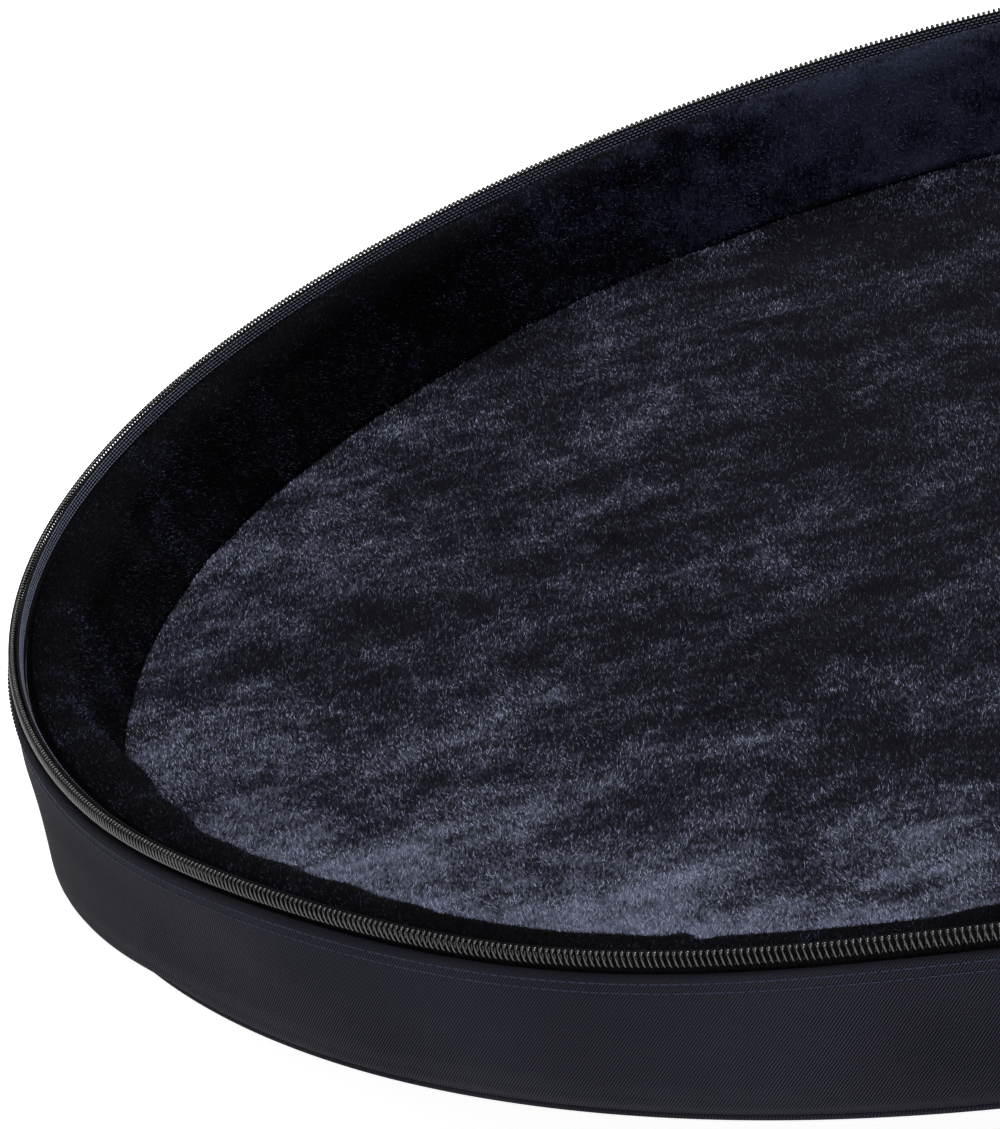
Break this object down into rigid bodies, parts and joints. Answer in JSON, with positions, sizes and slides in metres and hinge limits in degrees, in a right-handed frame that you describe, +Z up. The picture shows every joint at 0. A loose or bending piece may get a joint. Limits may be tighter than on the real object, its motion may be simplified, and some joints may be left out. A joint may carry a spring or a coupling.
{
  "type": "round padded soft bag",
  "caption": "Round padded soft bag for a handpan: deep plush-lined body, shallow hinged lid, coil zipper round the rim, carrying handle.",
  "frame": {"origin": "on the floor under the centre of the body's round base", "axes": "+Z up, hinge on the -X side with its axis along Y, handle on the +X side"},
  "size_m": [1.279, 0.626, 0.2008],
  "materials": {
    "outer_fabric": "black coated polyester twill",
    "welt": "fabric-covered seam welt",
    "foam": "closed-cell foam padding",
    "board": "stiffening sheet",
    "plush": "short dark blue-grey plush",
    "zipper_tape": "woven black tape",
    "zipper_coil": "glossy black nylon coil",
    "webbing": "ribbed black webbing",
    "grip": "padded sleeve",
    "metal": "black nickel plated zinc",
    "pull_rubber": "moulded rubber"
  },
  "bodies": {
    "body": {"body_side_panel": "outer_fabric", "body_base_panel": "outer_fabric", "body_base_welt": "welt", "body_base_foam": "foam", "body_base_board": "board", "body_wall_foam": "foam", "body_floor_lining": "plush", "body_wall_lining": "plush", "body_zipper_tape": "zipper_tape", "body_zipper_coil": "zipper_coil", "body_zipper_end_tabs": "zipper_tape", "hinge_gusset": "zipper_tape", "handle_strap": "webbing", "handle_patches": "webbing", "handle_grip": "grip"},
    "lid": {"lid_side_panel": "outer_fabric", "lid_top_panel": "outer_fabric", "lid_welt": "welt", "lid_panel_foam": "foam", "lid_wall_foam": "foam", "lid_floor_lining": "plush", "lid_wall_lining": "plush", "lid_zipper_tape": "zipper_tape", "lid_zipper_coil": "zipper_coil", "lid_zipper_end_tabs": "zipper_tape"},
    "slider_left": {"slider_body_left": "metal"},
    "slider_right": {"slider_body_right": "metal"},
    "pull_left": {"slider_pull_left": "metal", "slider_grip_left": "pull_rubber"},
    "pull_right": {"slider_pull_right": "metal", "slider_grip_right": "pull_rubber"}
  },
  "joints": [
    {"name": "lid_hinge", "type": "hinge", "parent": "body", "child": "lid", "pos_m": [-0.315, 0, 0.195], "axis": [0, 1, 0], "range_deg": [0, 193.81], "deforming": ["hinge_gusset"]},
    {"name": "slider_left_travel", "type": "hinge", "parent": "body", "child": "slider_left", "pos_m": [0, 0, 0.195], "axis": [0, 0, 1], "range_deg": [0, 157.2]},
    {"name": "slider_right_travel", "type": "hinge", "parent": "body", "child": "slider_right", "pos_m": [0, 0, 0.195], "axis": [0, 0, -1], "range_deg": [0, 157.2]},
    {"name": "pull_left_swing", "type": "hinge", "parent": "slider_left", "child": "pull_left", "pos_m": [-0.29807, -0.10849, 0.195], "axis": [-0.342, 0.9397, 0], "range_deg": [0, 160]},
    {"name": "pull_right_swing", "type": "hinge", "parent": "slider_right", "child": "pull_right", "pos_m": [-0.29807, 0.10849, 0.195], "axis": [0.342, 0.9397, 0], "range_deg": [0, 160]}
  ]
}
